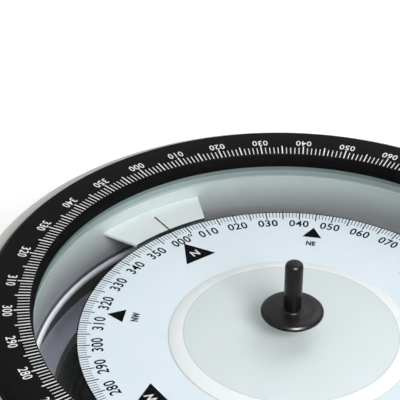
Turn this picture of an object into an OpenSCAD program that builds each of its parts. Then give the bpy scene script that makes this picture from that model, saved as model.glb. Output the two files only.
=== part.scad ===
// Liquid compass bowl with a floating card, a graduated bearing ring and a gimbal ring.
// The origin is the point where both gimbal axes cross. Z is up, the lubber line lies towards +Y,
// the bowl's trunnions lie along X and the gimbal ring's own trunnions along Y.

/* [Card] */
// Radius of the graduated card
card_r = 90.4; // [80:0.1:96]
// Thickness of the card
card_t = 1; // [0.8:0.1:1.6]
// Radius of the hole in the card that the float closes
card_hole_r = 46; // [42:1:50]
// Height of the card's face above the ledge that carries the bridge
card_over_ledge = 31; // [30:1:36]
// Width of the sloping rim that the float cover lays on the card
cover_rim = 6.2; // [4:0.2:8]
// Height of the float cover above the card
cover_h = 2; // [1.5:0.1:3]
// Wall of the float
float_wall = 1.5; // [1:0.1:2]
// Radius of the float's flat underside
float_foot_r = 26; // [22:1:30]
// Depth of the float below the card's face
float_depth = 16; // [15:0.5:17]

/* [Magnets and pivot] */
// Radius of a bar magnet
magnet_r = 3; // [2:0.25:3.5]
// Length of a bar magnet
magnet_length = 56; // [40:2:70]
// Distance of a magnet's axis from the centre
magnet_offset = 24; // [22:0.5:26]
// Radius of the opening in the magnet carrier
carrier_hole_r = 14; // [13:0.5:15]
// Radius of the pivot stem
stem_r = 4; // [3:0.25:4.5]
// Radius of the pivot point's shank
point_r = 0.9; // [0.6:0.1:1.2]
// Radius of the jewel
jewel_r = 2.5; // [2:0.1:3]

/* [Bowl] */
// Gap between the card's edge and the top of the inner wall
wall_gap = 18.1; // [17:0.1:24]
// Outward lean of the inner wall from its top to its foot
wall_lean = 2.5; // [1:0.25:4]
// Thickness of the bowl's wall
bowl_wall = 6; // [5:0.5:8]
// Height of the card's face above the seam of the two bowl castings
card_over_seam = 20; // [18:0.5:22]
// Width of the seam flanges outside the bowl's wall
seam_flange = 8; // [7.5:0.5:9]
// Thickness of each seam flange
seam_flange_t = 6; // [5:0.5:8]
// Height of the bright joint ring between the two castings
joint_ring_h = 4.4; // [3.5:0.1:5]
// How far the joint ring's bead stands into the bowl
joint_ring_nose = 2.4; // [1.5:0.1:3]
// Height of the ledge's face above the bowl's foot
ledge_height = 54; // [50:1:64]
// Width of the ledge inside the lower bowl
ledge_w = 10.7; // [9:0.5:12]
// Thickness of the ledge
ledge_t = 6; // [5:0.5:8]
// Radius of the bowl's foot
foot_r = 101; // [98:1:106]
// Wall of the skirt under the ledge
skirt_wall = 4; // [3:0.5:5]

/* [Top glass and bearing ring] */
// Thickness of the top glass
glass_t = 3; // [3:0.5:6]
// Clear height between the card's face and the top glass
glass_over_card = 8.7; // [7:0.1:12]
// Width of the seat that carries the top glass
glass_seat = 5; // [4:0.5:6]
// Thickness of the gasket under the top glass
gasket_t = 1; // [0.5:0.25:2]
// Thickness of the gasket between the top glass and the bearing ring
clamp_gasket_t = 2.3; // [1:0.1:3]
// Width of the bearing ring
bearing_w = 22; // [20:0.5:26]
// Thickness of the bearing ring
bearing_h = 6.5; // [5:0.5:8]
// Chamfer round the bearing ring's outer edge
bearing_chamfer = 2.5; // [1:0.25:3]
// Width of the bowl's rim outside the bearing ring
rim_w = 6.5; // [4:0.5:8]
// Height of the bowl's rim above the bearing ring's seat
rim_h = 1.5; // [1:0.1:3]
// Thickness of the rim flange under the bearing ring's seat
rim_flange_t = 8; // [7:0.5:10]

/* [Lubber plate] */
// Half the width of the plate at the wall
plate_half_outer = 26; // [22:0.2:28]
// Half the width of the plate at the card
plate_half_inner = 18.6; // [16:0.2:20]
// Gap between the plate and the card's edge
plate_gap = 1.3; // [1:0.1:3]
// Height of the plate's face above the card's face
plate_rise = 0.8; // [0:0.1:1.5]
// Thickness of the plate
plate_t = 1.2; // [1:0.1:2.5]
// Height of the tab that the plate is bent down into at the wall
plate_tab_h = 8; // [7:0.5:10]
// Half the width of the tab
plate_tab_half = 13; // [10:0.5:15]

/* [Shadow pin] */
// Radius of the shadow pin
pin_r = 3.8; // [3:0.1:4.5]
// Height of the shadow pin above its foot
pin_h = 22.9; // [16:0.1:26]
// Radius of the pin's foot
pin_foot_r = 13.2; // [11:0.1:15]
// Thickness of the pin's foot
pin_foot_h = 3; // [2.5:0.25:4]

/* [Gimbal] */
// Height of the card's face above the trunnion axis
card_over_axis = 20; // [18:0.5:23]
// Gap between the bowl's widest swing and the gimbal ring
swing_gap = 3.6; // [3:0.2:6]
// Thickness of the gimbal ring
gimbal_t = 9; // [8:0.5:12]
// Height of the gimbal ring
gimbal_h = 18; // [16:0.5:20]
// Radius of the trunnion pins
trunnion_r = 5; // [4:0.25:6]
// Length of an outer trunnion that stands free of the gimbal ring
trunnion_free = 12; // [10:0.5:20]
// Wall of the bronze bush in the gimbal ring
bush_wall = 2; // [1.5:0.25:2.5]
// Wall of the boss round a trunnion
boss_wall = 5; // [4:0.25:6]

/* [Bottom glass and ballast] */
// Radius of the bottom glass
bottom_glass_r = 84; // [78:0.5:85]
// Thickness of the bottom glass
bottom_glass_t = 5; // [4:0.5:6]
// Thickness of the corrugated diaphragm
diaphragm_t = 0.8; // [0.6:0.1:1]
// Depth of the diaphragm's corrugations
wave_h = 1.5; // [1:0.25:2]
// Height of the ring that clamps the diaphragm
clamp_h = 4; // [3:0.5:5]
// Height of the ballast ring
ballast_h = 18; // [14:1:20]
// Width of the ballast ring
ballast_w = 16; // [12:1:18]

/* [Fasteners] */
// Number of screws that hold the bearing ring
bearing_screws = 8; // [6:2:12]
// Number of screws in the bowl's seam
seam_screws = 8; // [4:4:12]
// Number of screws in the diaphragm's clamp ring
clamp_screws_n = 12; // [6:2:16]
// Radius of a screw's shank
screw_r = 2; // [1.5:0.25:2.5]
// Radius of a screw's head
screw_head_r = 3.3; // [3:0.1:3.6]
// Height of a screw's head
screw_head_h = 2.6; // [2:0.2:3]
// Radius of the filler plug's shank
plug_r = 4; // [3:0.25:5]
// Bearing of the filler plug from the lubber line
plug_bearing = 205; // [195:1:250]

/* [Hidden] */
fixed_gap = 0.02;
running_gap = 0.05;
free_gap = 0.3;
$fn = 96;

axis_z = 0;
card_z = axis_z + card_over_axis;
ledge_z = card_z - card_over_ledge;
seam_z = card_z - card_over_seam;
foot_z = ledge_z - ledge_height;

wall_top_r = card_r + wall_gap;
wall_foot_r = wall_top_r + wall_lean;
lower_step = 1.8;
lower_wall_r = wall_foot_r + lower_step;
body_r = wall_foot_r + bowl_wall;
seam_r = body_r + seam_flange;
seam_top_z = seam_z + seam_flange_t;
seam_edge = 0.8;
seam_fillet = 2;
top_fillet = 2.5;
joint_ring_r = wall_foot_r + 3.5;
joint_ring_lip = 0.7;
joint_ring_groove = 0.6;
wall_foot_z = seam_z + joint_ring_h;

glass_z = card_z + glass_over_card;
glass_top_z = glass_z + glass_t;
seat_z = glass_z - gasket_t;
ring_seat_z = glass_top_z + clamp_gasket_t;
pocket_r = wall_top_r + glass_seat + free_gap;
bearing_lean = 0.9;
bearing_in_r = wall_top_r - bearing_lean;
bearing_out_r = bearing_in_r + bearing_w;
bearing_top_z = ring_seat_z + bearing_h;
bearing_screw_r = bearing_out_r - 6.2;
rim_in_r = bearing_out_r + free_gap;
rim_r = rim_in_r + rim_w;
rim_z = ring_seat_z + rim_h;
rim_under_z = ring_seat_z - rim_flange_t;
rim_round = 1.6;

plate_margin = 0.1;
plate_screw_r = 1.2;
plate_screw_head_r = 2;
plate_screw_head_h = 1.2;
plate_screw_reach = 3;
plate_screw_turn = 4;
plate_screw_hole_l = wall_lean + plate_screw_reach + 1.5;
plate_z = card_z + plate_rise;
plate_screw_z = plate_z - (plate_t + plate_tab_h) / 2;

spigot_r = pin_r * 0.72;
shoulder_h = pin_foot_h + 0.5;
socket_floor = 0.8;

screw_reach = 4;
seam_screw_r = body_r + seam_flange / 2;
ledge_in_r = lower_wall_r - ledge_w;
ledge_under_z = ledge_z - ledge_t;
skirt_steps = 8;
foot_edge = 1;
skirt_top_z = seam_z - seam_flange_t;
band_top_z = foot_z + ballast_h + 3;
ballast_screw_z = foot_z + ballast_h / 2;
ballast_r = foot_r - skirt_wall - free_gap;

plug_z = (seam_top_z + rim_under_z) / 2;
plug_angle = 90 - plug_bearing;
plug_pad_r = plug_r + 4;
plug_pad_x = body_r + 1.5;
plug_pad_in = wall_foot_r + 2;
plug_washer_t = 1.2;
plug_washer_r = plug_r + 3;

boss_r = trunnion_r + boss_wall;
swing_r = norm([rim_r, rim_z - axis_z]);
gimbal_in_r = swing_r + swing_gap;
gimbal_out_r = gimbal_in_r + gimbal_t;
boss_rise = 3;
gimbal_boss_out = gimbal_out_r + boss_rise;
lock_x = (gimbal_in_r + gimbal_boss_out) / 2;
bowl_boss_out = gimbal_in_r - 2.5;
lug_flare = 6;
trunnion_seat = 11;
trunnion_root_r = trunnion_r - 1;
bush_r = trunnion_r + running_gap + bush_wall;
lock_r = 1.5;
trunnion_chamfer = 1;

wave_in_r = bottom_glass_r + 5;
wave_out_r = ledge_in_r - 1;
waves = 2;
clamp_in_r = ledge_in_r - 0.5;
clamp_w = 7.5;
clamp_out_r = clamp_in_r + clamp_w;
clamp_screw_r = (clamp_in_r + clamp_out_r) / 2;
clamp_turn = 180 / clamp_screws_n;
diaphragm_z = ledge_under_z - diaphragm_t;
frame_wall = 4;
frame_lip = 4;
frame_floor = 1.5;
bottom_gasket_t = 0.7;
bottom_seal_r = bottom_glass_r - frame_lip + 0.5;
bottom_glass_top_z = diaphragm_z - bottom_gasket_t;
bottom_glass_z = bottom_glass_top_z - bottom_glass_t;

bridge_w = 16;
bridge_t = 4;
bridge_hole_r = 4.5;
bridge_hole_x = 30;
bridge_hole_step = 22;
hub_r = 11;
hub_h = 3.5;
bridge_top_z = ledge_z + bridge_t;
bridge_screw_x = lower_wall_r - ledge_w / 2;

float_z = card_z - float_depth;
well_r = 8.5;
well_h = 10;
well_top_z = float_z + well_h;
jewel_h = 3;
jewel_holder_h = 5;
jewel_holder_r = jewel_r + 2.5;
cup_depth = 2;
point_play = 0.15;
point_tip_z = well_top_z - jewel_h + cup_depth - point_play;
point_cone_h = 2.4;
point_free = 4.8;
point_seat = 4;
stem_taper = 3;
stem_top_z = point_tip_z - point_free;
carrier_t = 4;
magnet_z = float_z - carrier_t - 0.4;

// Points of an arc about [r, z], from angle a0 to a1 in n steps
function arc(r, z, radius, a0, a1, n = 4) =
    [for (i = [0:n]) let (a = a0 + (a1 - a0) * i / n) [r + radius * cos(a), z + radius * sin(a)]];

// Radius of the inner wall at height z
function wall_r(z) =
    wall_foot_r - wall_lean * (z - wall_foot_z) / (seat_z - wall_foot_z);

// Radius of the inner face of the lubber plate's tab at height z
function tab_face_r(z) = wall_r(z) - plate_margin - plate_t;

// Outer radius of the skirt, which draws in down to the straight band at the foot
function skirt_r(z) =
    body_r - (body_r - foot_r) * pow((skirt_top_z - z) / (skirt_top_z - band_top_z), 2.2);

// Depth of the corrugations at radius r
function wave(r) =
    -wave_h * (1 - cos(360 * waves * (r - wave_in_r) / (wave_out_r - wave_in_r))) / 2;

// A ring of copies at radius r, the first one turned by start
module around(n, r, start = 0) {
    for (i = [0:n - 1])
        rotate([0, 0, start + 360 * i / n])
            translate([r, 0, 0])
                children();
}

// A cylinder along +X that starts at x
module x_rod(r, x, length) {
    translate([x, 0, 0])
        rotate([0, 90, 0])
            cylinder(r = r, h = length);
}

// A cap screw whose shank points up from z = 0 and whose head hangs below it
module cap_screw(length) {
    socket_r = screw_head_r * 0.48;
    socket_depth = screw_head_h * 0.5;
    cylinder(r = screw_r, h = length, $fn = 32);
    translate([0, 0, -screw_head_h])
        difference() {
            cylinder(r = screw_head_r, h = screw_head_h, $fn = 40);
            translate([0, 0, -1])
                cylinder(r = socket_r, h = socket_depth + 1, $fn = 6);
        }
}

// A countersunk screw whose flat head is flush with z = 0 and whose shank points down
module flat_screw(length) {
    slot_w = 0.8;
    slot_depth = 0.9;
    difference() {
        union() {
            translate([0, 0, -screw_head_h])
                cylinder(r1 = screw_r, r2 = screw_head_r, h = screw_head_h, $fn = 40);
            translate([0, 0, -length])
                cylinder(r = screw_r, h = length - screw_head_h, $fn = 32);
        }
        translate([-screw_head_r - 1, -slot_w / 2, -slot_depth])
            cube([2 * screw_head_r + 2, slot_w, slot_depth + 1]);
    }
}

// The hole that takes a flat_screw, with a clearance all round
module flat_screw_hole(length) {
    translate([0, 0, -screw_head_h - fixed_gap])
        cylinder(
            r1 = screw_r + fixed_gap,
            r2 = screw_head_r + 2 * fixed_gap,
            h = screw_head_h + 2 * fixed_gap,
            $fn = 40
        );
    translate([0, 0, -length - fixed_gap])
        cylinder(r = screw_r + fixed_gap, h = length, $fn = 32);
}

// A lug that hangs from the rim outside the seam flanges and carries one trunnion pin
module trunnion_lug() {
    lug_in = seam_r + 2 * free_gap;
    lug_w = bowl_boss_out - lug_in;
    neck = 1.15 * boss_r;
    neck_z = rim_under_z - lug_flare;
    translate([lug_in, 0, 0])
        rotate([90, 0, 90])
            linear_extrude(rim_r - lug_in - rim_round)
                polygon([
                    [-neck - lug_flare, rim_under_z + 1],
                    [-neck, neck_z],
                    [-boss_r, axis_z],
                    [boss_r, axis_z],
                    [neck, neck_z],
                    [neck + lug_flare, rim_under_z + 1]
                ]);
    translate([0, 0, axis_z])
        x_rod(boss_r, lug_in, lug_w);
}

module upper_bowl() {
    profile = concat(
        [[joint_ring_r + fixed_gap, seam_z], [joint_ring_r + fixed_gap, wall_foot_z]],
        [[wall_foot_r, wall_foot_z], [wall_top_r, seat_z], [pocket_r, seat_z]],
        [[pocket_r, ring_seat_z], [rim_in_r, ring_seat_z], [rim_in_r, rim_z]],
        arc(rim_r - rim_round, rim_z - rim_round, rim_round, 90, 0),
        arc(rim_r - rim_round, rim_under_z + rim_round, rim_round, 0, -90),
        arc(body_r + top_fillet, rim_under_z - top_fillet, top_fillet, 90, 180),
        arc(body_r + seam_fillet, seam_top_z + seam_fillet, seam_fillet, 180, 270),
        [[seam_r - seam_edge, seam_top_z], [seam_r, seam_top_z - seam_edge]],
        [[seam_r, seam_z]]
    );
    color("gainsboro")
        difference() {
            union() {
                rotate_extrude()
                    polygon(profile);
                around(2, 0)
                    trunnion_lug();
                rotate([0, 0, plug_angle])
                    translate([0, 0, plug_z])
                        x_rod(plug_pad_r, plug_pad_in, plug_pad_x - plug_pad_in);
            }
            translate([0, 0, axis_z])
                around(2, 0)
                    x_rod(trunnion_r + fixed_gap, bowl_boss_out - trunnion_seat, trunnion_seat + 1);
            around(bearing_screws, bearing_screw_r, 180 / bearing_screws)
                translate([0, 0, rim_under_z - 1])
                    cylinder(r = screw_r + running_gap, h = rim_flange_t + 2, $fn = 32);
            around(seam_screws, seam_screw_r, 180 / seam_screws)
                translate([0, 0, seam_z - 1])
                    cylinder(r = screw_r + fixed_gap, h = screw_reach + 1 + free_gap, $fn = 32);
            rotate([0, 0, plug_angle])
                translate([0, 0, plug_z])
                    x_rod(plug_r + fixed_gap, wall_top_r - 2, plug_pad_x - wall_top_r + 4);
            at_plate_screws()
                x_rod(plate_screw_r + fixed_gap, wall_top_r - 2, plate_screw_hole_l);
        }
}

module lower_bowl() {
    outer_step = (skirt_top_z - band_top_z) / skirt_steps;
    inner_step = (ledge_under_z - band_top_z) / skirt_steps;
    outer = [for (i = [0:skirt_steps]) let (z = skirt_top_z - i * outer_step) [skirt_r(z), z]];
    inner = [
        for (i = [0:skirt_steps])
            let (z = band_top_z + i * inner_step) [skirt_r(z) - skirt_wall, z]
    ];
    profile = concat(
        [[lower_wall_r, seam_z], [seam_r, seam_z]],
        [[seam_r, skirt_top_z + seam_edge], [seam_r - seam_edge, skirt_top_z]],
        outer,
        [[foot_r, foot_z + foot_edge], [foot_r - foot_edge, foot_z]],
        [[foot_r - skirt_wall, foot_z]],
        inner,
        [[ledge_in_r, ledge_under_z], [ledge_in_r, ledge_z], [lower_wall_r, ledge_z]]
    );
    color("lightslategray")
        difference() {
            rotate_extrude()
                polygon(profile);
            around(seam_screws, seam_screw_r, 180 / seam_screws)
                translate([0, 0, skirt_top_z - 1])
                    cylinder(r = screw_r + running_gap, h = seam_flange_t + 2, $fn = 32);
            around(clamp_screws_n, clamp_screw_r, clamp_turn)
                translate([0, 0, ledge_under_z - 1])
                    cylinder(r = screw_r + fixed_gap, h = screw_reach + 1 + free_gap, $fn = 32);
            around(2, bridge_screw_x)
                translate([0, 0, ledge_z - screw_reach])
                    cylinder(r = screw_r + fixed_gap, h = screw_reach + 1, $fn = 32);
            around(4, 0, 45)
                translate([0, 0, ballast_screw_z])
                    x_rod(screw_r + running_gap, ballast_r - 2, skirt_wall + 4);
        }
}

module joint_ring() {
    bead = (joint_ring_h - joint_ring_lip - joint_ring_groove) / 2;
    nose_r = wall_foot_r - joint_ring_nose;
    lip_r = wall_foot_r - 0.5;
    groove_r = wall_foot_r + 1;
    groove_z = wall_foot_z - joint_ring_lip;
    color("silver")
        rotate_extrude()
            polygon(concat(
                [[joint_ring_r, seam_z], [joint_ring_r, wall_foot_z]],
                [[lip_r, wall_foot_z], [lip_r, groove_z]],
                [[groove_r, groove_z], [groove_r, groove_z - joint_ring_groove]],
                arc(nose_r + bead, seam_z + bead, bead, 90, 270, 8)
            ));
}

module seam_screws() {
    color("silver")
        around(seam_screws, seam_screw_r, 180 / seam_screws)
            translate([0, 0, skirt_top_z])
                cap_screw(seam_flange_t + screw_reach);
}

module filler_washer() {
    color("peru")
        rotate([0, 0, plug_angle])
            translate([0, 0, plug_z])
                difference() {
                    x_rod(plug_washer_r, plug_pad_x, plug_washer_t);
                    x_rod(plug_r + fixed_gap, plug_pad_x - 1, plug_washer_t + 2);
                }
}

module filler_plug() {
    head_r = plug_r + 2.5;
    head_h = 4;
    head_x = plug_pad_x + plug_washer_t;
    inner_x = wall_r(plug_z) + 0.5;
    color("goldenrod")
        rotate([0, 0, plug_angle])
            translate([0, 0, plug_z]) {
                x_rod(plug_r, inner_x, head_x - inner_x);
                translate([head_x, 0, 0])
                    rotate([0, 90, 0])
                        cylinder(r = head_r, h = head_h, $fn = 6);
            }
}

module top_gasket() {
    color("dimgray")
        rotate_extrude()
            translate([wall_top_r + free_gap, seat_z])
                square([glass_seat - free_gap, gasket_t]);
}

module clamp_gasket() {
    inner_r = bearing_in_r + 0.7;
    color([0.3, 0.34, 0.35])
        rotate_extrude()
            translate([inner_r, glass_top_z])
                square([wall_top_r + glass_seat - inner_r, clamp_gasket_t]);
}

module top_glass() {
    color([0.8, 0.9, 0.9, 0.3])
        translate([0, 0, glass_z])
            cylinder(r = wall_top_r + glass_seat, h = glass_t, $fn = 180);
}

module bearing_ring() {
    edge = 0.3;
    color([0.12, 0.12, 0.12])
        difference() {
            rotate_extrude()
                polygon([
                    [bearing_in_r, ring_seat_z],
                    [bearing_in_r + bearing_lean - edge, bearing_top_z - edge],
                    [bearing_in_r + bearing_lean, bearing_top_z],
                    [bearing_out_r - bearing_chamfer, bearing_top_z],
                    [bearing_out_r, bearing_top_z - bearing_chamfer],
                    [bearing_out_r, ring_seat_z]
                ]);
            around(bearing_screws, bearing_screw_r, 180 / bearing_screws)
                translate([0, 0, ring_seat_z - 1])
                    cylinder(r = screw_r + fixed_gap, h = screw_reach + 1 + free_gap, $fn = 32);
        }
}

module bearing_ring_screws() {
    color("silver")
        around(bearing_screws, bearing_screw_r, 180 / bearing_screws)
            translate([0, 0, rim_under_z])
                cap_screw(rim_flange_t + screw_reach);
}

// A copy for each of the lubber plate's two screws, whose axes point outwards along +X
module at_plate_screws() {
    for (side = [-1, 1])
        rotate([0, 0, 90 + side * plate_screw_turn])
            translate([0, 0, plate_screw_z])
                children();
}

module lubber_plate() {
    back_z = plate_z - plate_t;
    tab_z = plate_z - plate_tab_h;
    inner_r = card_r + plate_gap;
    joined_z = plate_z - plate_t / 2;
    plate_section = [
        [inner_r, plate_z],
        [wall_r(plate_z) - plate_margin, plate_z],
        [wall_r(back_z) - plate_margin, back_z],
        [inner_r, back_z]
    ];
    tab_section = [
        [tab_face_r(joined_z), joined_z],
        [wall_r(joined_z) - plate_margin, joined_z],
        [wall_r(tab_z) - plate_margin, tab_z],
        [tab_face_r(tab_z), tab_z]
    ];
    inner_y = sqrt(pow(inner_r, 2) - pow(plate_half_inner, 2));
    outer_y = sqrt(pow(wall_r(plate_z), 2) - pow(plate_half_outer, 2));
    lean = (plate_half_outer - plate_half_inner) / (outer_y - inner_y);
    near_y = inner_y - 3;
    far_y = outer_y + 8;
    near_x = plate_half_inner - lean * (inner_y - near_y);
    far_x = plate_half_outer + lean * (far_y - outer_y);
    color("whitesmoke")
        difference() {
            union() {
                intersection() {
                    rotate_extrude()
                        polygon(plate_section);
                    translate([0, 0, back_z - 1])
                        linear_extrude(plate_t + 2)
                            polygon([
                                [-near_x, near_y],
                                [near_x, near_y],
                                [far_x, far_y],
                                [-far_x, far_y]
                            ]);
                }
                intersection() {
                    rotate_extrude()
                        polygon(tab_section);
                    translate([-plate_tab_half, 0, tab_z - 1])
                        cube([2 * plate_tab_half, wall_foot_r, plate_tab_h + 1]);
                }
            }
            at_plate_screws()
                x_rod(plate_screw_r + running_gap, tab_face_r(tab_z) - 2, plate_t + 4);
        }
}

module plate_screws() {
    head_x = tab_face_r(plate_screw_z + plate_screw_head_r) - 2 * fixed_gap;
    tip_x = wall_r(plate_screw_z) + plate_screw_reach;
    color("silver")
        at_plate_screws() {
            x_rod(plate_screw_head_r, head_x - plate_screw_head_h, plate_screw_head_h);
            x_rod(plate_screw_r, head_x - plate_screw_head_h, tip_x - head_x + plate_screw_head_h);
        }
}

module pin_foot() {
    edge = 1.2;
    socket_r = spigot_r + running_gap;
    fillet = 0.6;
    fillet_r = pin_r + 0.5 + fillet;
    color([0.13, 0.12, 0.12])
        translate([0, 0, glass_top_z])
            rotate_extrude()
                polygon(concat(
                    [[0, 0], [pin_foot_r - edge / 3, 0]],
                    arc(pin_foot_r - edge, edge, edge, -20, 90, 6),
                    arc(fillet_r, shoulder_h, fillet, 270, 180),
                    [[socket_r, shoulder_h], [socket_r, socket_floor], [0, socket_floor]]
                ));
}

module shadow_pin() {
    spigot_z = socket_floor + 0.1;
    crown = 1;
    color([0.13, 0.12, 0.12])
        translate([0, 0, glass_top_z])
            rotate_extrude()
                polygon(concat(
                    [[0, spigot_z], [spigot_r, spigot_z], [spigot_r, shoulder_h], [pin_r, shoulder_h]],
                    arc(pin_r - crown, shoulder_h + pin_h - crown, crown, 0, 90),
                    [[0, shoulder_h + pin_h]]
                ));
}

module pivot_bridge() {
    color("slategray")
        difference() {
            union() {
                intersection() {
                    translate([-lower_wall_r, -bridge_w / 2, ledge_z])
                        cube([2 * lower_wall_r, bridge_w, bridge_t]);
                    translate([0, 0, ledge_z])
                        cylinder(r = lower_wall_r - free_gap, h = bridge_t);
                }
                translate([0, 0, ledge_z])
                    cylinder(r = hub_r, h = bridge_t + hub_h);
            }
            translate([0, 0, ledge_z - 1])
                cylinder(r = stem_r + fixed_gap, h = bridge_t + hub_h + 2);
            around(2, bridge_screw_x)
                translate([0, 0, bridge_top_z])
                    flat_screw_hole(bridge_t + screw_reach);
            for (side = [-1, 1])
                for (i = [0:2])
                    translate([side * (bridge_hole_x + bridge_hole_step * i), 0, ledge_z - 1])
                        cylinder(r = bridge_hole_r, h = bridge_t + 2, $fn = 40);
        }
}

module bridge_screws() {
    color("silver")
        around(2, bridge_screw_x)
            translate([0, 0, bridge_top_z])
                flat_screw(bridge_t + screw_reach - free_gap);
}

module pivot_stem() {
    color("goldenrod")
        difference() {
            rotate_extrude()
                polygon([
                    [0, ledge_z],
                    [stem_r, ledge_z],
                    [stem_r, stem_top_z - stem_taper],
                    [stem_r / 2, stem_top_z],
                    [0, stem_top_z]
                ]);
            translate([0, 0, stem_top_z - point_seat])
                cylinder(r = point_r + fixed_gap, h = point_seat + 1, $fn = 32);
        }
}

module pivot_point() {
    shank_z = stem_top_z - point_seat + 0.1;
    tip_flat_r = 0.05;
    color("silver")
        rotate_extrude($fn = 48)
            polygon([
                [0, shank_z],
                [point_r, shank_z],
                [point_r, point_tip_z - point_cone_h],
                [tip_flat_r, point_tip_z],
                [0, point_tip_z]
            ]);
}

module diaphragm() {
    steps = 24;
    span = wave_out_r - wave_in_r;
    crest = [for (i = [0:steps]) let (r = wave_in_r + span * i / steps) [r, diaphragm_z + wave(r)]];
    rise = [0, diaphragm_t];
    trough = [for (i = [steps:-1:0]) crest[i] + rise];
    color("dimgray")
        difference() {
            rotate_extrude()
                polygon(concat(
                    [[bottom_seal_r, diaphragm_z]],
                    crest,
                    [[clamp_out_r, diaphragm_z], [clamp_out_r, ledge_under_z]],
                    trough,
                    [[bottom_seal_r, ledge_under_z]]
                ));
            around(clamp_screws_n, clamp_screw_r, clamp_turn)
                translate([0, 0, diaphragm_z - 1])
                    cylinder(r = screw_r + running_gap, h = diaphragm_t + 2, $fn = 32);
        }
}

module diaphragm_clamp_ring() {
    color("darkslategray")
        difference() {
            translate([0, 0, diaphragm_z - clamp_h])
                rotate_extrude()
                    translate([clamp_in_r, 0])
                        square([clamp_out_r - clamp_in_r, clamp_h]);
            around(clamp_screws_n, clamp_screw_r, clamp_turn)
                translate([0, 0, diaphragm_z - clamp_h - 1])
                    cylinder(r = screw_r + running_gap, h = clamp_h + 2, $fn = 32);
        }
}

module clamp_screws() {
    color("silver")
        around(clamp_screws_n, clamp_screw_r, clamp_turn)
            translate([0, 0, diaphragm_z - clamp_h])
                cap_screw(clamp_h + diaphragm_t + screw_reach);
}

module bottom_glass_frame() {
    glass_fit = bottom_glass_r + free_gap;
    color("darkslategray")
        rotate_extrude()
            polygon([
                [bottom_glass_r - frame_lip, bottom_glass_z - frame_floor],
                [bottom_glass_r + frame_wall, bottom_glass_z - frame_floor],
                [bottom_glass_r + frame_wall, diaphragm_z],
                [glass_fit, diaphragm_z],
                [glass_fit, bottom_glass_z],
                [bottom_glass_r - frame_lip, bottom_glass_z]
            ]);
}

module bottom_gasket() {
    color("dimgray")
        rotate_extrude()
            translate([bottom_seal_r, bottom_glass_top_z])
                square([bottom_glass_r - bottom_seal_r, bottom_gasket_t]);
}

module bottom_glass() {
    color([0.75, 0.85, 0.88, 0.4])
        translate([0, 0, bottom_glass_z])
            cylinder(r = bottom_glass_r, h = bottom_glass_t, $fn = 180);
}

module ballast_ring() {
    low = foot_z + 0.5;
    high = foot_z + ballast_h;
    edge = 1;
    color("gray")
        difference() {
            rotate_extrude()
                polygon([
                    [ballast_r - ballast_w, low],
                    [ballast_r, low],
                    [ballast_r, high - edge],
                    [ballast_r - edge, high],
                    [ballast_r - ballast_w, high]
                ]);
            around(4, 0, 45)
                translate([0, 0, ballast_screw_z])
                    x_rod(screw_r + fixed_gap, ballast_r - screw_reach - free_gap, screw_reach + 1);
        }
}

module ballast_screws() {
    color("silver")
        around(4, foot_r, 45)
            translate([0, 0, ballast_screw_z])
                rotate([0, -90, 0])
                    cap_screw(foot_r - ballast_r + screw_reach);
}

module trunnion_pin() {
    seat_x = bowl_boss_out - trunnion_seat + free_gap;
    tip_x = gimbal_boss_out + 1;
    color("silver")
        translate([0, 0, axis_z])
            rotate([0, 90, 0])
                rotate_extrude()
                    polygon([
                        [0, seat_x],
                        [trunnion_r, seat_x],
                        [trunnion_r, tip_x - trunnion_chamfer],
                        [trunnion_r - trunnion_chamfer, tip_x],
                        [0, tip_x]
                    ]);
}

module trunnion_pin_starboard() {
    trunnion_pin();
}

module trunnion_pin_port() {
    rotate([0, 0, 180])
        trunnion_pin();
}

module card_disc() {
    color("white")
        translate([0, 0, card_z - card_t])
            difference() {
                cylinder(r = card_r, h = card_t, $fn = 180);
                translate([0, 0, -1])
                    cylinder(r = card_hole_r, h = card_t + 2);
            }
}

module float_cover() {
    rim_r = card_hole_r + cover_rim - 0.5;
    rim_edge = 0.3;
    color("honeydew")
        translate([0, 0, card_z])
            rotate_extrude()
                polygon([
                    [0, 0],
                    [rim_r, 0],
                    [rim_r, rim_edge],
                    [rim_r - cover_rim, cover_h],
                    [0, cover_h]
                ]);
}

module float_body() {
    top_z = card_z - card_t;
    shoulder_z = top_z - 4;
    lip_r = card_hole_r + 6;
    lip_t = 1.2;
    color("lightgray")
        rotate_extrude()
            polygon([
                [well_r, float_z],
                [float_foot_r, float_z],
                [card_hole_r, shoulder_z],
                [lip_r, top_z - lip_t],
                [lip_r, top_z],
                [card_hole_r + 1, top_z],
                [card_hole_r - float_wall, shoulder_z + 1],
                [float_foot_r - float_wall / 2, float_z + float_wall],
                [well_r + float_wall, float_z + float_wall],
                [well_r + float_wall, well_top_z + float_wall],
                [0, well_top_z + float_wall],
                [0, well_top_z],
                [well_r, well_top_z]
            ]);
}

module jewel_holder() {
    color("goldenrod")
        translate([0, 0, well_top_z - jewel_holder_h])
            difference() {
                cylinder(r = jewel_holder_r, h = jewel_holder_h, $fn = 48);
                translate([0, 0, -1])
                    cylinder(r = jewel_r + fixed_gap, h = jewel_holder_h + 2, $fn = 48);
            }
}

module jewel_cup() {
    mouth_r = 1.8;
    color("crimson")
        translate([0, 0, well_top_z - jewel_h])
            difference() {
                cylinder(r = jewel_r, h = jewel_h, $fn = 48);
                translate([0, 0, -0.01])
                    cylinder(r1 = mouth_r, r2 = 0.1, h = cup_depth, $fn = 48);
            }
}

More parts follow.
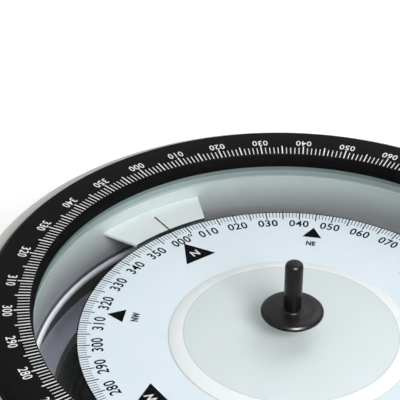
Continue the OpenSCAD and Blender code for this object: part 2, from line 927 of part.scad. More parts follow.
module magnet_carrier() {
    ring_w = 6;
    arm_w = 10;
    clip_l = 24;
    color("silver")
        difference() {
            union() {
                translate([0, 0, float_z - carrier_t])
                    cylinder(r = carrier_hole_r + ring_w, h = carrier_t);
                for (side = [-1, 1])
                    translate([-arm_w / 2 + side * magnet_offset, -clip_l / 2, float_z - carrier_t])
                        cube([arm_w, clip_l, carrier_t]);
                translate([-magnet_offset, -arm_w / 2, float_z - carrier_t])
                    cube([2 * magnet_offset, arm_w, carrier_t]);
            }
            translate([0, 0, float_z - carrier_t - 1])
                cylinder(r = carrier_hole_r, h = carrier_t + 2);
            for (side = [-1, 1])
                translate([side * magnet_offset, 0, magnet_z])
                    rotate([90, 0, 0])
                        cylinder(r = magnet_r + fixed_gap, h = magnet_length + 2, center = true, $fn = 48);
        }
}

module magnet(side) {
    color("darkgray")
        translate([side * magnet_offset, 0, magnet_z])
            rotate([90, 0, 0])
                cylinder(r = magnet_r, h = magnet_length, center = true, $fn = 48);
}

module magnet_port() {
    magnet(-1);
}

module magnet_starboard() {
    magnet(1);
}

module gimbal_ring() {
    edge = 1.2;
    low = axis_z - gimbal_h / 2;
    high = axis_z + gimbal_h / 2;
    color("gainsboro")
        difference() {
            union() {
                rotate_extrude()
                    polygon(concat(
                        arc(gimbal_in_r + edge, low + edge, edge, 180, 270),
                        arc(gimbal_out_r - edge, low + edge, edge, 270, 360),
                        arc(gimbal_out_r - edge, high - edge, edge, 0, 90),
                        arc(gimbal_in_r + edge, high - edge, edge, 90, 180)
                    ));
                translate([0, 0, axis_z])
                    around(4, 0)
                        difference() {
                            x_rod(boss_r + 1, gimbal_in_r - 1, gimbal_boss_out - gimbal_in_r + 1);
                            cylinder(r = gimbal_in_r + edge, h = 3 * boss_r, center = true);
                        }
            }
            translate([0, 0, axis_z]) {
                around(2, 0)
                    x_rod(bush_r + fixed_gap, gimbal_in_r - 3, gimbal_t + boss_rise + 5);
                around(2, 0, 90)
                    x_rod(trunnion_root_r + fixed_gap, gimbal_in_r - 3, gimbal_t + boss_rise + 5);
            }
            around(2, lock_x, 90)
                translate([0, 0, axis_z])
                    cylinder(r = lock_r + fixed_gap, h = gimbal_h, $fn = 24);
        }
}

module trunnion_bush() {
    color("darkgoldenrod")
        translate([0, 0, axis_z])
            difference() {
                x_rod(bush_r, gimbal_in_r + free_gap, gimbal_boss_out - gimbal_in_r - free_gap);
                x_rod(trunnion_r + running_gap, gimbal_in_r - 1, gimbal_t + boss_rise + 3);
            }
}

module trunnion_bush_starboard() {
    trunnion_bush();
}

module trunnion_bush_port() {
    rotate([0, 0, 180])
        trunnion_bush();
}

module outer_trunnion() {
    root_y = gimbal_in_r + 1;
    tip_y = gimbal_boss_out + trunnion_free;
    color("silver")
        translate([0, 0, axis_z])
            rotate([-90, 0, 0])
                rotate_extrude()
                    polygon([
                        [0, root_y],
                        [trunnion_root_r, root_y],
                        [trunnion_root_r, gimbal_boss_out],
                        [trunnion_r, gimbal_boss_out],
                        [trunnion_r, tip_y - trunnion_chamfer],
                        [trunnion_r - trunnion_chamfer, tip_y],
                        [0, tip_y]
                    ]);
}

module outer_trunnion_fore() {
    outer_trunnion();
}

module outer_trunnion_aft() {
    rotate([0, 0, 180])
        outer_trunnion();
}

module gimbal_lock_screws() {
    seat_z = axis_z + trunnion_root_r;
    top_z = axis_z + boss_r - 0.5;
    color("silver")
        around(2, lock_x, 90)
            translate([0, 0, seat_z])
                difference() {
                    cylinder(r = lock_r, h = top_z - seat_z, $fn = 24);
                    translate([0, 0, top_z - seat_z - 1])
                        cylinder(r = lock_r * 0.5, h = 2, $fn = 6);
                }
}

upper_bowl();
lower_bowl();
joint_ring();
seam_screws();
filler_plug();
filler_washer();
top_gasket();
top_glass();
clamp_gasket();
bearing_ring();
bearing_ring_screws();
lubber_plate();
plate_screws();
pin_foot();
shadow_pin();
pivot_bridge();
bridge_screws();
pivot_stem();
pivot_point();
diaphragm();
diaphragm_clamp_ring();
clamp_screws();
bottom_glass_frame();
bottom_gasket();
bottom_glass();
ballast_ring();
ballast_screws();
trunnion_pin_port();
trunnion_pin_starboard();
card_disc();
float_cover();
float_body();
jewel_holder();
jewel_cup();
magnet_carrier();
magnet_port();
magnet_starboard();
gimbal_ring();
trunnion_bush_port();
trunnion_bush_starboard();
outer_trunnion_fore();
outer_trunnion_aft();
gimbal_lock_screws();
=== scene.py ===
import math

import bpy
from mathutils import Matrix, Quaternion, Vector


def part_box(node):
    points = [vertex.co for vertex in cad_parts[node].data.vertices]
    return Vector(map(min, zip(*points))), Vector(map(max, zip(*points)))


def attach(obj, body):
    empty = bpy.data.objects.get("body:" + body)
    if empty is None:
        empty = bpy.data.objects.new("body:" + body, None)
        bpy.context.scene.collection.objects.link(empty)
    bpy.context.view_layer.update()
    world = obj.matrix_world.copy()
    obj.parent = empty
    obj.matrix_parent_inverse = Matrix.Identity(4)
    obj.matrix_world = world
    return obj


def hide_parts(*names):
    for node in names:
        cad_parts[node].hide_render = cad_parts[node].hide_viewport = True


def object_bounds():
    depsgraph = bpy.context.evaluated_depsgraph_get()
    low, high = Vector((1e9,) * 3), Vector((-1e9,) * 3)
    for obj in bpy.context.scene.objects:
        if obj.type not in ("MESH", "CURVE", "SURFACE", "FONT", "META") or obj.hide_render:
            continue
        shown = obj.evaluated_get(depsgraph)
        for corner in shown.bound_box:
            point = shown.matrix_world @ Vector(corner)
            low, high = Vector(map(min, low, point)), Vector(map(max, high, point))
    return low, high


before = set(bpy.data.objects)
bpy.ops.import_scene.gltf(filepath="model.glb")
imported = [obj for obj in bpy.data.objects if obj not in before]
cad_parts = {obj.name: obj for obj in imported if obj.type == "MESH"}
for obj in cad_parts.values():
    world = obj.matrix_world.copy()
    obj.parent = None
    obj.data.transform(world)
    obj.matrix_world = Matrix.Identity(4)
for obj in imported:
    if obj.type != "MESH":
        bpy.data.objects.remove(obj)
cad_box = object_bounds()

# The viewpoint: a long lens off the port quarter of the bowl, looking down through the top glass.
# It turns about a point a little off the card's centre, and its heights start from the card's face.
card_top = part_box("card_disc")[1].z
card_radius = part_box("card_disc")[1].x
view_bearing = math.radians(35.31)
view_elevation = math.radians(34.555)
view_roll = math.radians(0.49)
view_distance = 0.8223
aim = Vector((0.026, 0.104, card_top))
looking = Vector(
    (
        math.sin(view_bearing) * math.cos(view_elevation),
        math.cos(view_bearing) * math.cos(view_elevation),
        -math.sin(view_elevation),
    )
)
bpy.ops.object.select_all(action="DESELECT")
bpy.ops.object.camera_add(location=aim - looking * view_distance)
camera = bpy.context.object
camera.name = "viewpoint"
facing = looking.to_track_quat("-Z", "Y") @ Quaternion((0, 0, 1), view_roll)
camera.rotation_euler = facing.to_euler()
camera.data.lens = 157.98
camera.data.sensor_width = 36
bpy.context.scene.camera = camera
bpy.context.scene.view_settings.view_transform = "Standard"


# The two bowl castings: a rim casting with the sloping inner wall and the trunnion lugs, and the
# pan under it with its ledge and skirt. Both are of non-magnetic alloy, turned and spray-painted
# in pale greys, as are the gimbal ring and the pivot's bridge.
def shade_of(red, green, blue):
    """The colour as 0 to 255 on a screen, turned into the linear values that a shader takes."""
    parts = []
    for part in (red, green, blue):
        part = part / 255
        parts.append(part / 12.92 if part <= 0.04045 else ((part + 0.055) / 1.055) ** 2.4)
    return (*parts, 1)


def make_grain_group():
    """Uneven colour and gloss: outputs the mottled colour, the roughness and a height."""
    group = bpy.data.node_groups.new("grain", "ShaderNodeTree")
    sockets = group.interface
    sockets.new_socket("Colour", in_out="INPUT", socket_type="NodeSocketColor")
    sockets.new_socket("Shade", in_out="INPUT", socket_type="NodeSocketColor")
    sockets.new_socket("Scale", in_out="INPUT", socket_type="NodeSocketFloat")
    sockets.new_socket("Roughness", in_out="INPUT", socket_type="NodeSocketFloat")
    sockets.new_socket("Spread", in_out="INPUT", socket_type="NodeSocketFloat")
    sockets.new_socket("Colour", in_out="OUTPUT", socket_type="NodeSocketColor")
    sockets.new_socket("Roughness", in_out="OUTPUT", socket_type="NodeSocketFloat")
    sockets.new_socket("Height", in_out="OUTPUT", socket_type="NodeSocketFloat")
    nodes, links = group.nodes, group.links
    start = nodes.new("NodeGroupInput")
    end = nodes.new("NodeGroupOutput")
    place = nodes.new("ShaderNodeTexCoord")
    noise = nodes.new("ShaderNodeTexNoise")
    noise.inputs["Detail"].default_value = 6
    noise.inputs["Roughness"].default_value = 0.6
    links.new(place.outputs["Object"], noise.inputs["Vector"])
    links.new(start.outputs["Scale"], noise.inputs["Scale"])
    spread = nodes.new("ShaderNodeMapRange")
    spread.inputs["From Min"].default_value = 0.3
    spread.inputs["From Max"].default_value = 0.7
    links.new(noise.outputs["Fac"], spread.inputs["Value"])
    mix = nodes.new("ShaderNodeMix")
    mix.data_type = "RGBA"
    links.new(spread.outputs["Result"], mix.inputs["Factor"])
    links.new(start.outputs["Shade"], mix.inputs[first_colour])
    links.new(start.outputs["Colour"], mix.inputs[second_colour])
    links.new(mix.outputs[mixed_colour], end.inputs["Colour"])
    swing = nodes.new("ShaderNodeMath")
    swing.operation = "MULTIPLY_ADD"
    links.new(spread.outputs["Result"], swing.inputs[0])
    links.new(start.outputs["Spread"], swing.inputs[1])
    links.new(start.outputs["Roughness"], swing.inputs[2])
    links.new(swing.outputs["Value"], end.inputs["Roughness"])
    links.new(noise.outputs["Fac"], end.inputs["Height"])
    return group


# The places of a colour mix's sockets, whose names are not unique.
first_colour, second_colour, mixed_colour = 6, 7, 2
grain = make_grain_group()


def finish(name, colour, shade, scale, roughness, spread, bump, metallic=0.0, gloss=0.5):
    """A material whose colour, gloss and surface all vary a little with the grain."""
    material = bpy.data.materials.new(name)
    material.use_nodes = True
    nodes, links = material.node_tree.nodes, material.node_tree.links
    shader = nodes["Principled BSDF"]
    shader.inputs["Metallic"].default_value = metallic
    shader.inputs["Specular IOR Level"].default_value = gloss
    mottle = nodes.new("ShaderNodeGroup")
    mottle.node_tree = grain
    mottle.inputs["Colour"].default_value = colour
    mottle.inputs["Shade"].default_value = shade
    mottle.inputs["Scale"].default_value = scale
    mottle.inputs["Roughness"].default_value = roughness
    mottle.inputs["Spread"].default_value = spread
    relief = nodes.new("ShaderNodeBump")
    relief.inputs["Strength"].default_value = bump
    relief.inputs["Distance"].default_value = 0.0002
    links.new(mottle.outputs["Colour"], shader.inputs["Base Color"])
    links.new(mottle.outputs["Roughness"], shader.inputs["Roughness"])
    links.new(mottle.outputs["Height"], relief.inputs["Height"])
    links.new(relief.outputs["Normal"], shader.inputs["Normal"])
    return material


def dress(material, *names):
    """Gives CAD nodes the material."""
    for name in names:
        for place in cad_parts[name].material_slots:
            place.material = material


def make_band_group():
    """A round band about the Z axis: 1 between its radii and above its height, 0 elsewhere."""
    group = bpy.data.node_groups.new("band", "ShaderNodeTree")
    sockets = group.interface
    for name in ("Inner", "Outer", "Low"):
        sockets.new_socket(name, in_out="INPUT", socket_type="NodeSocketFloat")
    sockets.new_socket("Mask", in_out="OUTPUT", socket_type="NodeSocketFloat")
    nodes, links = group.nodes, group.links
    start = nodes.new("NodeGroupInput")
    end = nodes.new("NodeGroupOutput")
    place = nodes.new("ShaderNodeTexCoord")
    level = nodes.new("ShaderNodeVectorMath")
    level.operation = "MULTIPLY"
    level.inputs[1].default_value = (1, 1, 0)
    reach = nodes.new("ShaderNodeVectorMath")
    reach.operation = "LENGTH"
    height = nodes.new("ShaderNodeSeparateXYZ")
    links.new(place.outputs["Object"], level.inputs[0])
    links.new(place.outputs["Object"], height.inputs[0])
    links.new(level.outputs["Vector"], reach.inputs[0])
    mask = None
    for measured, test, limit in (
        (reach.outputs["Value"], "GREATER_THAN", "Inner"),
        (reach.outputs["Value"], "LESS_THAN", "Outer"),
        (height.outputs["Z"], "GREATER_THAN", "Low"),
    ):
        side = nodes.new("ShaderNodeMath")
        side.operation = test
        links.new(measured, side.inputs[0])
        links.new(start.outputs[limit], side.inputs[1])
        if mask:
            both = nodes.new("ShaderNodeMath")
            both.operation = "MULTIPLY"
            links.new(mask, both.inputs[0])
            links.new(side.outputs["Value"], both.inputs[1])
            side = both
        mask = side.outputs["Value"]
    links.new(mask, end.inputs["Mask"])
    return group


band = make_band_group()


def banded(material, inner, outer, colour, low=-1):
    """Lays a round band of another mottled colour over the material's own."""
    nodes, links = material.node_tree.nodes, material.node_tree.links
    shader = nodes["Principled BSDF"]
    below = shader.inputs["Base Color"].links[0].from_socket
    darker = 0.94
    mask = nodes.new("ShaderNodeGroup")
    mask.node_tree = band
    for name, value in (("Inner", inner), ("Outer", outer), ("Low", low)):
        mask.inputs[name].default_value = value
    mottle = nodes.new("ShaderNodeGroup")
    mottle.node_tree = grain
    mottle.inputs["Colour"].default_value = colour
    mottle.inputs["Shade"].default_value = (*(darker * part for part in colour[:3]), 1)
    mottle.inputs["Scale"].default_value = 160
    mix = nodes.new("ShaderNodeMix")
    mix.data_type = "RGBA"
    links.new(mask.outputs["Mask"], mix.inputs["Factor"])
    links.new(below, mix.inputs[first_colour])
    links.new(mottle.outputs["Colour"], mix.inputs[second_colour])
    links.new(mix.outputs[mixed_colour], shader.inputs["Base Color"])


def painted_shade_below(material, foot, head, colour):
    """Painted shade below the foot's height, fading into the material's own colour by the head."""
    nodes, links = material.node_tree.nodes, material.node_tree.links
    shader = nodes["Principled BSDF"]
    above = shader.inputs["Base Color"].links[0].from_socket
    place = nodes.new("ShaderNodeTexCoord")
    height = nodes.new("ShaderNodeSeparateXYZ")
    rise = nodes.new("ShaderNodeMapRange")
    rise.interpolation_type = "SMOOTHSTEP"
    rise.inputs["From Min"].default_value = foot
    rise.inputs["From Max"].default_value = head
    mix = nodes.new("ShaderNodeMix")
    mix.data_type = "RGBA"
    mix.inputs[first_colour].default_value = colour
    links.new(place.outputs["Object"], height.inputs[0])
    links.new(height.outputs["Z"], rise.inputs["Value"])
    links.new(rise.outputs["Result"], mix.inputs["Factor"])
    links.new(above, mix.inputs[second_colour])
    links.new(mix.outputs[mixed_colour], shader.inputs["Base Color"])


casting_paint = finish(
    "casting_paint",
    colour=shade_of(202, 214, 213),
    shade=shade_of(197, 210, 209),
    scale=160,
    roughness=0.36,
    spread=0.1,
    bump=0.08,
)
# The inner wall is darker towards its foot: painted shade, where the card and ring shade it.
painted_shade_below(casting_paint, foot=0.006, head=0.025, colour=shade_of(156, 158, 162))
# The darker band on the glass pocket's rim, under the bearing ring, is painted shade.
pocket_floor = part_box("top_gasket")[0].z
pocket_inner, pocket_outer = 0.1083, 0.109
banded(
    casting_paint,
    pocket_inner,
    pocket_outer,
    shade_of(170, 184, 183),
    low=pocket_floor - 0.0001,
)
wall_outside, past_rim = 0.1134, 0.2
banded(casting_paint, wall_outside, past_rim, shade_of(193, 193, 188))
dress(casting_paint, "upper_bowl", "gimbal_ring")
slate_paint = finish(
    "slate_paint",
    colour=shade_of(193, 193, 188),
    shade=shade_of(187, 187, 182),
    scale=160,
    roughness=0.4,
    spread=0.1,
    bump=0.08,
    gloss=0.4,
)
ledge_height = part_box("pivot_bridge")[0].z
pan_inner, pan_outer = 0.1115, 0.1133
banded(slate_paint, 0, pan_outer, shade_of(185, 188, 204), low=ledge_height - 0.0006)
# The dark brownish band on the pan's wall just below the joint ring is painted shade.
banded(slate_paint, pan_inner, pan_outer, shade_of(94, 88, 88), low=ledge_height + 0.0003)
dress(slate_paint, "lower_bowl", "pivot_bridge")

# The bright metal: screws, trunnion pins, the magnets' carrier and the pivot's point, all of a
# non-magnetic white alloy, machined and left bare.
bright_metal = finish(
    "bright_metal",
    colour=shade_of(205, 208, 212),
    shade=shade_of(180, 184, 190),
    scale=500,
    roughness=0.2,
    spread=0.12,
    bump=0.1,
    metallic=1.0,
)
dress(
    bright_metal,
    "seam_screws",
    "bearing_ring_screws",
    "bridge_screws",
    "clamp_screws",
    "ballast_screws",
    "plate_screws",
    "trunnion_pin_port",
    "trunnion_pin_starboard",
    "outer_trunnion_fore",
    "outer_trunnion_aft",
    "gimbal_lock_screws",
    "magnet_carrier",
    "pivot_point",
)

# The brass pieces: filler plug, pivot stem, jewel holder, trunnion bushes and the heavy ballast
# ring at the bottom. All are turned and left bright.
brass = finish(
    "brass",
    colour=shade_of(206, 170, 104),
    shade=shade_of(172, 136, 80),
    scale=320,
    roughness=0.28,
    spread=0.16,
    bump=0.15,
    metallic=1.0,
)
dress(
    brass,
    "filler_plug",
    "pivot_stem",
    "jewel_holder",
    "trunnion_bush_port",
    "trunnion_bush_starboard",
    "ballast_ring",
)

# Two dark plated bar magnets hang in their carrier under the float. The jewel that rides on the
# point is a small cup ground from red stone and pressed into its brass holder.
magnet_plating = finish(
    "magnet_plating",
    colour=shade_of(112, 113, 118),
    shade=shade_of(88, 89, 94),
    scale=420,
    roughness=0.3,
    spread=0.12,
    bump=0.1,
    metallic=1.0,
)
dress(magnet_plating, "magnet_port", "magnet_starboard")
red_stone = finish(
    "red_stone",
    colour=shade_of(150, 18, 40),
    shade=shade_of(120, 10, 30),
    scale=900,
    roughness=0.06,
    spread=0.05,
    bump=0.05,
)
dress(red_stone, "jewel_cup")

# The rubber pieces, cut or moulded: the gaskets and the washer that seal the glasses and the
# filler, and the black diaphragm that takes up the liquid's expansion.
black_rubber = finish(
    "black_rubber",
    colour=shade_of(38, 38, 41),
    shade=shade_of(30, 30, 32),
    scale=600,
    roughness=0.6,
    spread=0.2,
    bump=0.5,
)
dress(black_rubber, "filler_washer", "bottom_gasket", "diaphragm")
pale_rubber = finish(
    "pale_rubber",
    colour=shade_of(174, 189, 188),
    shade=shade_of(169, 184, 183),
    scale=500,
    roughness=0.5,
    spread=0.15,
    bump=0.2,
)
dress(pale_rubber, "top_gasket")
slate_rubber = finish(
    "slate_rubber",
    colour=shade_of(108, 124, 124),
    shade=shade_of(101, 117, 117),
    scale=500,
    roughness=0.5,
    spread=0.15,
    bump=0.2,
)
dress(slate_rubber, "clamp_gasket")


# The bottom glass is a dark disc in a turned black frame that the diaphragm carries. A turned
# black ring clamps the diaphragm's edge up against the ledge with twelve screws.
def glass(name, colour, clearness, gloss):
    """A clear sheet: see-through where looked into, and more like a mirror at a low angle."""
    material = bpy.data.materials.new(name)
    material.use_nodes = True
    nodes, links = material.node_tree.nodes, material.node_tree.links
    shader = nodes["Principled BSDF"]
    shader.inputs["Base Color"].default_value = colour
    shader.inputs["Roughness"].default_value = 0.02
    glancing = nodes.new("ShaderNodeLayerWeight")
    glancing.inputs["Blend"].default_value = 0.05
    strength = nodes.new("ShaderNodeMapRange")
    strength.inputs["To Min"].default_value = clearness
    strength.inputs["To Max"].default_value = gloss
    links.new(glancing.outputs["Fresnel"], strength.inputs["Value"])
    links.new(strength.outputs["Result"], shader.inputs["Alpha"])
    return material


dress(glass("bottom_pane", shade_of(30, 32, 35), clearness=0.85, gloss=1.0), "bottom_glass")
frame_black = finish(
    "frame_black",
    colour=shade_of(34, 34, 36),
    shade=shade_of(26, 26, 28),
    scale=300,
    roughness=0.4,
    spread=0.15,
    bump=0.3,
)
dress(frame_black, "bottom_glass_frame", "diaphragm_clamp_ring")


# The bearing ring lies on the rim over the edge of the top glass: a black alloy ring with a
# chamfered outer edge, turned on a lathe, and engraved with white marks and numbers.
def turned(name, profile, segments):
    """A turned piece: a circle drawn out along the profile's steps of (radius, height)."""
    radius, height = profile[0]
    bpy.ops.object.select_all(action="DESELECT")
    bpy.ops.mesh.primitive_circle_add(
        vertices=segments, radius=radius, location=(0, 0, height)
    )
    piece = bpy.context.object
    piece.name = name
    bpy.ops.object.transform_apply(location=True, rotation=True, scale=True)
    bpy.ops.object.mode_set(mode="EDIT")
    bpy.ops.mesh.select_all(action="SELECT")
    for next_radius, next_height in profile[1:]:
        bpy.ops.mesh.extrude_edges_move(
            TRANSFORM_OT_translate={"value": (0, 0, next_height - height)}
        )
        growth = next_radius / radius
        bpy.ops.transform.resize(value=(growth, growth, 1), center_override=(0, 0, 0))
        radius, height = next_radius, next_height
    bpy.ops.mesh.select_all(action="SELECT")
    bpy.ops.mesh.remove_doubles(threshold=0.000002)
    bpy.ops.mesh.fill_holes(sides=0)
    bpy.ops.mesh.select_all(action="SELECT")
    bpy.ops.mesh.normals_make_consistent(inside=False)
    bpy.ops.object.mode_set(mode="OBJECT")
    return piece


def round_edges(piece, width, segments=3):
    """Rounds the piece's sharp edges with a bevel, then smooths its faces."""
    bpy.ops.object.select_all(action="DESELECT")
    piece.select_set(True)
    bpy.context.view_layer.objects.active = piece
    bevel = piece.modifiers.new("edges", "BEVEL")
    bevel.width = width
    bevel.segments = segments
    bevel.limit_method = "ANGLE"
    bevel.angle_limit = math.radians(20)
    bpy.ops.object.modifier_apply(modifier=bevel.name)
    bpy.ops.object.shade_smooth_by_angle(angle=math.radians(35))


ring_low, ring_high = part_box("bearing_ring")
ring_inner = 0.1076
ring_lean = 0.0009
ring_chamfer = 0.0025
bearing_ring = turned(
    "engraved_ring",
    [
        (ring_inner, ring_low.z),
        (ring_inner + ring_lean, ring_high.z),
        (ring_high.x - ring_chamfer, ring_high.z),
        (ring_high.x, ring_high.z - ring_chamfer),
        (ring_high.x, ring_low.z),
        (ring_inner, ring_low.z),
    ],
    segments=360,
)
round_edges(bearing_ring, width=0.0003)
ring_black = finish(
    "ring_black",
    colour=shade_of(11, 11, 11),
    shade=shade_of(7, 7, 7),
    scale=500,
    roughness=0.5,
    spread=0.1,
    bump=0.04,
    gloss=0.04,
)
bearing_ring.data.materials.append(ring_black)
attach(bearing_ring, "bowl")
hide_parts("bearing_ring")


# The joint ring between the castings is turned from satin silver alloy: a thin lip under the
# painted wall, a groove, and a round bead that stands out into the bowl. From the groove's mouth
# outwards it is painted dark blue-grey as shade.
joint_low, joint_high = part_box("joint_ring")
wall_foot = 0.111
lip_radius = wall_foot - 0.0005
lip_bottom = joint_high.z - 0.0007
groove_radius = wall_foot + 0.001
groove_bottom = joint_high.z - 0.0013
groove_mouth = wall_foot - 0.0007
bead_nose = wall_foot - 0.0024
bead_half = (groove_bottom - joint_low.z) / 2
joint_ring = turned(
    "joint_ring_turned",
    [
        (joint_high.x, joint_low.z),
        (joint_high.x, joint_high.z),
        (lip_radius, joint_high.z),
        (lip_radius, lip_bottom),
        (groove_radius, lip_bottom),
        (groove_radius, groove_bottom),
    ]
    + [
        (
            bead_nose + bead_half * (1 + math.cos(math.radians(turn))),
            joint_low.z + bead_half * (1 + math.sin(math.radians(turn))),
        )
        for turn in range(90, 271, 15)
    ]
    + [(joint_high.x, joint_low.z)],
    segments=360,
)
round_edges(joint_ring, width=0.00008, segments=1)
satin_silver = finish(
    "satin_silver",
    colour=shade_of(244, 246, 250),
    shade=shade_of(236, 239, 244),
    scale=300,
    roughness=0.36,
    spread=0.08,
    bump=0.04,
    metallic=0.2,
)
# Painted shade: dark blue-grey over the groove, the lip and the bead's root.
banded(satin_silver, groove_mouth, past_rim, shade_of(84, 90, 110))
joint_ring.data.materials.append(satin_silver)
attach(joint_ring, "bowl")
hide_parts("joint_ring")


# The ring's scale: a mark at each degree, longer at each fifth, and a number at each tenth with
# its top towards the centre. All are engraved and filled with white paint.
def marks(name, short, long, width, long_width, top, thickness):
    """One five-degree stretch of marks, each (inner radius, outer radius), copied all round."""
    bpy.ops.object.select_all(action="DESELECT")
    stretch = 5
    strokes = []
    for degree in range(stretch):
        inner, outer = long if degree == 0 else short
        across = long_width if degree == 0 else width
        bpy.ops.mesh.primitive_cube_add(
            size=1, location=(0, (inner + outer) / 2, top - thickness / 2)
        )
        stroke = bpy.context.object
        stroke.scale = (across, outer - inner, thickness)
        bpy.ops.object.transform_apply(location=True, rotation=True, scale=True)
        stroke.rotation_euler = (0, 0, -math.radians(degree))
        bpy.ops.object.transform_apply(location=True, rotation=True, scale=True)
        strokes.append(stroke)
    for stroke in strokes:
        stroke.select_set(True)
    bpy.ops.object.join()
    scale = bpy.context.object
    scale.name = name
    bpy.ops.object.mode_set(mode="EDIT")
    bpy.ops.mesh.select_all(action="SELECT")
    bpy.ops.mesh.spin(
        steps=360 // stretch - 1,
        dupli=True,
        angle=math.radians(360 - stretch),
        center=(0, 0, 0),
        axis=(0, 0, 1),
    )
    bpy.ops.object.mode_set(mode="OBJECT")
    return scale


def lettering(words, height, radius, bearing, turn, top, weight, squeeze=1.0, aside=0.0):
    """Words as thin raised print at a bearing on the dial, turned about their own middle."""
    bpy.ops.object.select_all(action="DESELECT")
    bpy.ops.object.text_add()
    text = bpy.context.object
    text.data.body = words
    text.data.align_x = "CENTER"
    text.data.align_y = "CENTER"
    text.data.size = height / digit_height
    text.data.extrude = print_thickness / 2
    text.data.offset = weight
    text.data.space_character = 1.08
    text.data.resolution_u = 5
    bpy.ops.object.convert(target="MESH")
    text = bpy.context.object
    low = min(v.co.y for v in text.data.vertices)
    high = max(v.co.y for v in text.data.vertices)
    text.location = (aside, -(low + high) / 2, 0)
    bpy.ops.object.transform_apply(location=True, rotation=True, scale=True)
    text.scale = (squeeze, 1, 1)
    text.rotation_euler = (0, 0, math.radians(turn))
    bpy.ops.object.transform_apply(location=True, rotation=True, scale=True)
    text.location = (0, radius, top)
    bpy.ops.object.transform_apply(location=True, rotation=True, scale=True)
    text.rotation_euler = (0, 0, -math.radians(bearing))
    bpy.ops.object.transform_apply(location=True, rotation=True, scale=True)
    return text


def joined(pieces, name):
    """Makes one piece of several."""
    bpy.ops.object.select_all(action="DESELECT")
    for piece in pieces:
        piece.select_set(True)
    bpy.context.view_layer.objects.active = pieces[0]
    bpy.ops.object.join()
    whole = bpy.context.object
    whole.name = name
    return whole


digit_height = 0.72
print_thickness = 0.00008
ring_marks = marks(
    "ring_marks",
    short=(0.10895, 0.114),
    long=(0.10895, 0.1154),
    width=0.00039,
    long_width=0.00056,
    top=ring_high.z + print_thickness / 2,
    thickness=print_thickness,
)
ring_numbers = joined(
    [
        lettering(
            f"{bearing:03d}",
            height=0.0041,
            radius=0.118,
            bearing=bearing,
            turn=180,
            top=ring_high.z,
            weight=0.00004,
            squeeze=0.82,
        )
        for bearing in range(0, 360, 10)
    ],
    "ring_numbers",
)
white_fill = finish(
    "white_fill",
    colour=shade_of(240, 240, 238),
    shade=shade_of(226, 226, 224),
    scale=900,
    roughness=0.5,
    spread=0.1,
    bump=0.1,
)
for part in (ring_marks, ring_numbers):
    part.data.materials.append(white_fill)
    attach(part, "bowl")

# The card: a thin disc of white-painted sheet on the float, printed in black with a mark at each
# degree and numbers outside black pointers. The dark line round its edge is printed on the top
# and carried down the rim as painted shade. A thin grey ring round the float's lid is painted
# shadow where the lid stands on the disc.
card_white = finish(
    "card_white",
    colour=shade_of(234, 244, 252),
    shade=shade_of(229, 242, 248),
    scale=60,
    roughness=0.5,
    spread=0.08,
    bump=0.04,
    gloss=0.15,
)
# Painted shadow: a thin grey ring on the disc round the float's lid.
lid_shadow_inner, lid_shadow_outer = 0.0516, 0.05205
banded(card_white, lid_shadow_inner, lid_shadow_outer, shade_of(206, 216, 220))
dress(card_white, "card_disc")
black_print = finish(
    "black_print",
    colour=shade_of(6, 8, 11),
    shade=shade_of(4, 5, 7),
    scale=900,
    roughness=0.5,
    spread=0.1,
    bump=0.1,
    gloss=0.02,
)
print_top = card_top + print_thickness / 2
card_marks = marks(
    "card_marks",
    short=(card_radius - 0.0041, card_radius - 0.0003),
    long=(card_radius - 0.0056, card_radius - 0.0003),
    width=0.00031,
    long_width=0.00054,
    top=print_top,
    thickness=print_thickness,
)
# The dark edge line: printed on the card's top, and painted shade down its rim.
edge_inner, edge_outer = card_radius - 0.0004, card_radius + 0.0001
edge_foot = card_top - 0.0008
edge_line = turned(
    "card_edge_line",
    [
        (edge_inner, print_top),
        (edge_outer, print_top),
        (edge_outer, edge_foot),
        (edge_inner, edge_foot),
        (edge_inner, print_top),
    ],
    segments=360,
)
card_numbers = joined(
    [
        lettering(
            f"{bearing:03d}",
            height=0.0049,
            radius=0.0817,
            bearing=bearing,
            turn=0,
            top=card_top,
            weight=0.00012,
            squeeze=0.85,
        )
        for bearing in range(0, 360, 10)
    ]
    + [
        lettering(
            "°",
            height=0.0052,
            radius=0.0834,
            bearing=0,
            turn=0,
            top=card_top,
            weight=0.00006,
            aside=0.006,
        )
    ],
    "card_numbers",
)


def pointer(height, tip_radius, bearing):
    """A flat, equal-sided black triangle whose tip points outwards on the card."""
    corner_reach = height / 1.5
    bpy.ops.object.select_all(action="DESELECT")
    bpy.ops.mesh.primitive_circle_add(
        vertices=3,
        radius=corner_reach,
        fill_type="NGON",
        location=(0, tip_radius - corner_reach, card_top - print_thickness / 2),
    )
    triangle = bpy.context.object
    bpy.ops.object.transform_apply(location=True, rotation=True, scale=True)
    bpy.ops.object.mode_set(mode="EDIT")
    bpy.ops.mesh.select_all(action="SELECT")
    bpy.ops.mesh.extrude_region_move(
        TRANSFORM_OT_translate={"value": (0, 0, print_thickness)}
    )
    bpy.ops.mesh.select_all(action="SELECT")
    bpy.ops.mesh.normals_make_consistent(inside=False)
    bpy.ops.object.mode_set(mode="OBJECT")
    triangle.rotation_euler = (0, 0, -math.radians(bearing))
    bpy.ops.object.transform_apply(location=True, rotation=True, scale=True)
    return triangle


